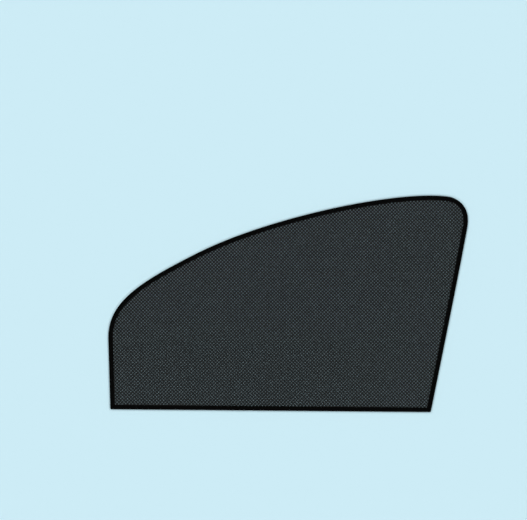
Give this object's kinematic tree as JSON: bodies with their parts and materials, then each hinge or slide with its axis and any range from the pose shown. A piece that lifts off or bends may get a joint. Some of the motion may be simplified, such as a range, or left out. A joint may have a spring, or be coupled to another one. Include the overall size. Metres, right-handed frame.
{
  "type": "car side window sunshade",
  "caption": "Flat see-through window shade: dark net stretched in a sprung wire loop, with a sewn tape border that holds thin magnets.",
  "frame": {"origin": "middle of the bounding box in X and Y, on the lowest face of the border, z = 0, with the shade lying flat", "axes": "+X along the straight bottom edge towards the tall end, +Y up the window, +Z out of the face that the picture shows"},
  "size_m": [0.8002, 0.4832, 0.0036],
  "materials": {
    "mesh_fabric": "matte",
    "binding_tape": "matte",
    "sewing_thread": "matte",
    "spring_steel": "satin",
    "sleeve_steel": "satin",
    "magnet_nickel": "satin"
  },
  "bodies": {
    "root": {"bobbin_thread": "sewing_thread", "edge_binding": "binding_tape", "frame_wire": "spring_steel", "magnet_01": "magnet_nickel", "magnet_02": "magnet_nickel", "magnet_03": "magnet_nickel", "magnet_04": "magnet_nickel", "magnet_05": "magnet_nickel", "magnet_06": "magnet_nickel", "magnet_07": "magnet_nickel", "magnet_08": "magnet_nickel", "magnet_09": "magnet_nickel", "magnet_10": "magnet_nickel", "mesh_panel": "mesh_fabric", "needle_thread": "sewing_thread", "wire_ferrule": "sleeve_steel"}
  },
  "joints": []
}
